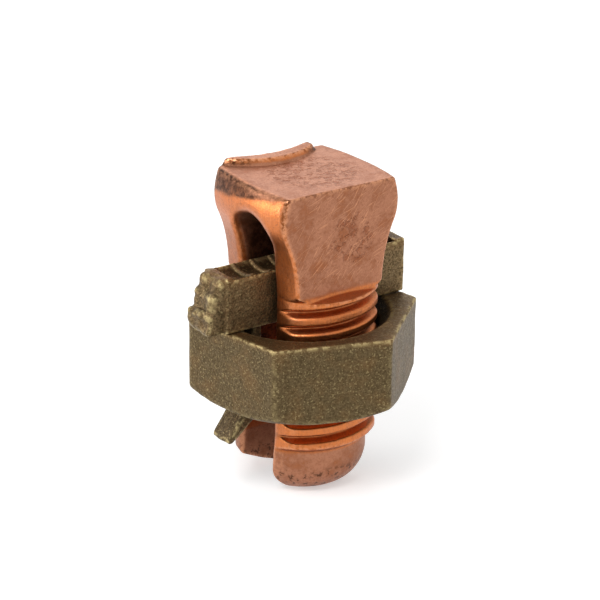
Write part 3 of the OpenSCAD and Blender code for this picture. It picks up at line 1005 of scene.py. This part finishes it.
@dataclass
class HexNut:
    """The bronze nut: six softened flats, a countersunk top and a chamfered bottom. Sizes are in mm."""

    across_flats: float = 17.46
    turn: float = 40.7
    top: float = -7.25
    low: float = -14.25
    bore_r: float = 6.41
    thread_depth: float = 0.16
    sink_r: float = 7.4            # radius of the countersink at the top
    foot_h: float = 0.5            # height of the bevel at the bore's lower end
    chamfer: float = 30.0
    pitch: float = 1.411
    step: float = 0.17

    def plain(self, x: Array, y: Array, z: Array) -> Array:
        """Distance to the nut, before its casting grain.

        Args:
            x: places along X, in mm.
            y: places along Y, in mm.
            z: places along Z, in mm.

        Returns:
            The distance at each place in mm, negative inside.
        """
        half = self.across_flats / 2
        body = None
        for k in range(3):
            angle = math.radians(self.turn + 30 + 60 * k)
            flat = np.abs(x * math.cos(angle) + y * math.sin(angle)) - half
            body = flat if body is None else round_max(body, flat, 0.28)
        across = np.hypot(x, y)
        lean = math.radians(self.chamfer)
        cone = (across - half) * math.sin(lean) - (z - self.low) * math.cos(lean)
        body = round_max(body, cone, 0.25)
        body = round_max(body, z - self.top, 0.12)
        body = round_max(body, self.low - z, 0.15)
        bore = self.bore_r - across
        sink = (self.sink_r - across + (z - self.top)) * math.sqrt(0.5)
        foot = (self.bore_r + self.foot_h - across - (z - self.low)) * math.sqrt(0.5)
        hole = np.maximum(np.maximum(bore, sink), foot)
        return round_max(body, hole, 0.12)

    def cast(self, x: Array, y: Array, z: Array) -> Array:
        """Distance to the nut with the uneven skin of its casting.

        Args:
            x: places along X, in mm.
            y: places along Y, in mm.
            z: places along Z, in mm.

        Returns:
            The distance at each place in mm, negative inside.
        """
        away = smooth_step(np.hypot(x, y), 7.0, 8.0)
        rough = lumps(x, y, z, 1.8, 41) * 0.025 + lumps(x, y, z, 0.5, 42) * 0.015
        return self.plain(x, y, z) + away * rough + SKIN_INSET

    def build(self, bronze: bpy.types.Material) -> bpy.types.Object:
        """Builds the nut and gives it its place on the nut body.

        Args:
            bronze: its finish.

        Returns:
            The finished nut.
        """
        axes = (even_axis(-10.6, 10.6, self.step), even_axis(-10.6, 10.6, self.step),
                even_axis(-14.8, -6.7, self.step))
        net, faces = skin(self.cast, axes)
        x, y, z = net.T
        bend = bend_of(self.plain, net, 0.3)
        rim = smooth_step(z, self.top - 0.6, self.top - 0.1)
        edge = np.clip(bend * 0.55, 0.0, 1.0) * (0.45 + 0.55 * rim)
        # Painted shade inside the countersink and the top of the bore.
        countersink_shade = smooth_step(np.hypot(x, y), 7.6, 7.0) * smooth_step(z, self.top + 0.05, self.top - 0.3)
        piece = mesh_object("cast_nut", net, faces, {"edge": edge, "warm": 0.3 * rim, "tarnish_and_shade": countersink_shade})
        thread = Thread(ThreadSide.INSIDE, crest_radius=self.bore_r, depth=self.thread_depth, pitch=self.pitch,
                        bottom=self.low + self.foot_h, top=self.top - 1.0)
        thread.press_into(piece, bronze)
        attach(piece, "nut")
        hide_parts("hex_nut")
        return piece


# --------------------------------------------------------------------------- the bar

@dataclass
class PressureBar:
    """The bronze bar in the slot: a saddle, the stub of its casting and two bent prongs. Sizes are in mm."""

    half_w: float = 1.65
    left: float = 9.0
    right: float = 9.4
    low: float = -7.2
    top: float = -2.35
    saddle_depth: float = 0.7
    prong_in: float = 5.12
    prong_out: float = 6.19
    prong_w: float = 2.6
    prong_low: float = -14.3
    saddle_left: float = 8.2
    saddle_right: float = 8.3
    # for each tier of the stub: how far it stands out, where it starts and ends as a share of the bar's
    # height, and its seed
    tiers: tuple[tuple[float, float, float, int], ...] = (
        (1.87, 0.0, 0.42, 51), (1.27, 0.3, 0.76, 52), (0.72, 0.62, 0.98, 53))
    # the hook's upper, under and end faces: a point, out from the axis and up from the stem's end, and the
    # way that the face looks, outwards and upwards
    hook_faces: tuple[tuple[float, float, float, float], ...] = (
        (7.4, -1.25, 0.817, 0.577), (6.1, -1.65, -0.636, -0.771), (8.6, -3.0, 0.574, -0.82))
    step: float = 0.11

    def tier(self, x: Array, y: Array, z: Array, reach: float, low: float, high: float, seed: int) -> Array:
        """Distance to one rounded tier of the stub.

        Args:
            x: places along X, in mm.
            y: places along Y, in mm.
            z: places along Z, in mm.
            reach: how far the tier stands out from the bar's end, in mm.
            low: height of its underside, in mm.
            high: height of its top, in mm.
            seed: which random pattern its lumps use.

        Returns:
            The distance at each place in mm, negative inside.
        """
        wobble = lumps(x, y, z, 1.0, seed) * 0.2 + lumps(x, y, z, 0.5, seed + 10) * 0.08
        end = np.maximum(-self.left - reach - x + wobble, x + self.left - 1.0)
        block = round_max(np.abs(y) - self.half_w + 0.02, end, 0.5)
        return round_max(block, round_max(z - high, low - z, 0.1) + wobble * 0.5, 0.55)

    def prong(self, x: Array, y: Array, z: Array) -> Array:
        """Distance to the two prongs, which go down inside the nut and are bent out under it.

        Args:
            x: places along X, in mm.
            y: places along Y, in mm.
            z: places along Z, in mm.

        Returns:
            The distance at each place in mm, negative inside.
        """
        out = np.abs(x)
        stem = round_max(self.prong_in - out, np.hypot(x, y) - self.prong_out, 0.15)
        stem = np.maximum(np.maximum(stem, z - self.low - 0.5), self.prong_low - 0.2 - z)
        top, under, tip = ((out - far) * outwards + (z - self.prong_low - up) * upwards
                           for far, up, outwards, upwards in self.hook_faces)
        hook = round_max(round_max(top, under, 0.2), tip, 0.35)
        hook = np.maximum(hook, self.prong_in - out)
        hook = np.maximum(hook, z - self.prong_low)
        both = round_min(stem, hook, 0.3)
        return round_max(both, np.abs(y) - self.prong_w / 2, 0.3)

    def plain(self, x: Array, y: Array, z: Array) -> Array:
        """Distance to the bar, before its casting grain.

        Args:
            x: places along X, in mm.
            y: places along Y, in mm.
            z: places along Z, in mm.

        Returns:
            The distance at each place in mm, negative inside.
        """
        body = round_max(np.abs(y) - self.half_w, x - self.right - 0.03, 0.3)
        body = round_max(body, -self.left - x, 0.2)
        height = self.top - self.low
        body = round_max(body, z - self.top, 0.2)
        for reach, low, high, seed in self.tiers:
            tier = self.tier(x, y, z, reach, self.low + height * low, self.low + height * high, seed)
            body = round_min(body, tier, 0.12)
        body = round_max(body, self.low - z, 0.12)
        radius = (self.half_w ** 2 + self.saddle_depth ** 2) / (2 * self.saddle_depth)
        saddle = radius - np.hypot(y, z - (self.top - self.saddle_depth + radius))
        saddle = np.minimum(saddle, np.minimum(x + self.saddle_left, self.saddle_right - x))
        body = round_max(body, saddle, 0.12)
        return round_min(body, self.prong(x, y, z), 0.15)

    def cast(self, x: Array, y: Array, z: Array) -> Array:
        """Distance to the bar with the uneven skin of its casting.

        Args:
            x: places along X, in mm.
            y: places along Y, in mm.
            z: places along Z, in mm.

        Returns:
            The distance at each place in mm, negative inside.
        """
        stub = smooth_step(x, -7.5, -9.5)
        coarse = lumps(x, y, z, 0.9, 61) * (0.025 + 0.07 * stub)
        rough = coarse + lumps(x, y, z, 0.42, 62) * (0.02 + 0.045 * stub)
        away = 0.2 + 0.8 * (smooth_step(z, self.low + 0.2, self.low + 0.7)
                            + smooth_step(z, self.prong_low - 0.5, self.prong_low - 1.0))
        return self.plain(x, y, z) + away * rough + SKIN_INSET

    def build(self, bronze: bpy.types.Material) -> bpy.types.Object:
        """Builds the bar with the ribs in its saddle and gives both their place on the bar body.

        Args:
            bronze: its finish, which the ribs share.

        Returns:
            The finished bar.
        """
        axes = (even_axis(-11.4, 9.9, self.step), even_axis(-2.1, 2.1, self.step),
                even_axis(-18.1, -1.8, self.step))
        net, faces = skin(self.cast, axes)
        x, y, z = net.T
        bend = bend_of(self.plain, net, 0.25)
        saddle = smooth_step(np.abs(y), 1.4, 1.1) * smooth_step(z, self.top - 1.0, self.top - 0.6)
        saddle = saddle * smooth_step(x, -8.4, -7.9)
        warm = 0.5 * smooth_step(z, self.top - 1.4, self.top) + 0.3 * saddle
        # Darker in the saddle, grime on the casting stub's end, and painted shade on the prongs' hooks under
        # the nut.
        grime_and_shade = 0.75 * saddle + 0.3 * smooth_step(x, -8.8, -9.6) + 0.7 * smooth_step(z, -13.5, -14.5)
        piece = mesh_object("cast_bar", net, faces,
                            {"edge": np.clip(bend * 0.5, 0.0, 1.0), "warm": warm, "tarnish_and_shade": grime_and_shade})
        piece.data.materials.append(bronze)
        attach(piece, "bar")
        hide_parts("pressure_bar")
        ridges = GripRidges().build(bronze)
        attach(ridges, "bar")
        return piece


# --------------------------------------------------------------------------- stage

@dataclass(frozen=True)
class Softbox:
    """A square lamp that looks at the connector. Places in mm, power in watts."""

    name: str
    place: tuple[float, float, float]
    size: float
    power: float
    target: tuple[float, float, float] = (0.0, 0.0, -8.0)

    def build(self) -> None:
        """Builds the lamp."""
        lamp = bpy.data.lights.new(self.name, "AREA")
        lamp.shape = "SQUARE"
        lamp.size = self.size * MM
        lamp.energy = self.power
        made = bpy.data.objects.new(self.name, lamp)
        made.location = Vector(self.place) * MM
        look = Vector(self.target) * MM - made.location
        made.rotation_euler = look.to_track_quat("-Z", "Y").to_euler()
        bpy.context.scene.collection.objects.link(made)


@dataclass
class Studio:
    """The paper floor, the white surround, the soft lamps and the camera."""

    floor_z: float = -22.5
    floor_half: float = 2000.0
    fill: float = 0.6              # strength of the surround's own light; it is 1 where the surround is seen
    eye: tuple[float, float, float] = (-114.84, -158.64, 71.57)
    gaze: tuple[float, float, float] = (0.5433, 0.7533, -0.3707)
    tilt: float = 0.9              # the camera is rolled this many degrees
    lens: float = 150.0
    lamps: tuple[Softbox, ...] = (
        Softbox("key_softbox", (-260.0, -120.0, 330.0), 180.0, 0.95),
        Softbox("rear_softbox", (150.0, 300.0, 240.0), 260.0, 0.3),
        Softbox("side_softbox", (-270.0, 210.0, 50.0), 150.0, 0.4),
    )

    def surround(self) -> None:
        """Makes the white surround that the camera, the metal and the floor see."""
        world = bpy.data.worlds.new("white_surround")
        world.use_nodes = True
        tree = world.node_tree
        tree.nodes.clear()
        strength = add_node(tree, "ShaderNodeMapRange",
                            {"Value": seen_directly(tree), "To Min": self.fill, "To Max": 1.0})
        light = add_node(tree, "ShaderNodeBackground",
                         {"Color": (1.0, 1.0, 1.0, 1.0), "Strength": strength.outputs[0]})
        add_node(tree, "ShaderNodeOutputWorld", {"Surface": light.outputs[0]})
        bpy.context.scene.world = world

    def floor(self) -> None:
        """Lays the paper floor."""
        mesh = bpy.data.meshes.new("paper_floor")
        half, z = self.floor_half * MM, self.floor_z * MM
        corners = [(-half, -half, z), (half, -half, z), (half, half, z), (-half, half, z)]
        mesh.from_pydata(corners, [], [(0, 1, 2, 3)])
        mesh.materials.append(MattePaper().make())
        made = bpy.data.objects.new("paper_floor", mesh)
        bpy.context.scene.collection.objects.link(made)

    def camera(self) -> None:
        """Sets up the camera."""
        data = bpy.data.cameras.new("camera")
        data.lens, data.sensor_width = self.lens, 36.0
        data.clip_start, data.clip_end = 0.01, 10.0
        made = bpy.data.objects.new("camera", data)
        turn = Vector(self.gaze).to_track_quat("-Z", "Y").to_matrix()
        turn = turn @ Matrix.Rotation(math.radians(self.tilt), 3, "Z")
        made.matrix_world = Matrix.Translation(Vector(self.eye) * MM) @ turn.to_4x4()
        bpy.context.scene.collection.objects.link(made)
        bpy.context.scene.camera = made

    def build(self) -> None:
        """Builds everything round the connector."""
        self.surround()
        self.floor()
        for lamp in self.lamps:
            lamp.build()
        self.camera()
        bpy.context.scene.view_settings.view_transform = "Standard"


def report(piece: bpy.types.Object) -> None:
    """Logs a finished piece's name and size in faces."""
    LOG.info("%s: %d faces", piece.name, len(piece.data.polygons))


def main() -> None:
    """Builds the pieces in order, then the studio."""
    logging.basicConfig(level=logging.INFO, format="%(name)s: %(message)s")
    copper = TumbledCopper().make()
    report(SplitBolt().build(copper))
    report(HexNut().build(CastBronze("nut_bronze").make()))
    report(PressureBar().build(CastBronze("cast_bar_bronze", skin="#80694a", rubbed_share=0.75).make()))
    Studio().build()


if __name__ == "__main__":
    main()
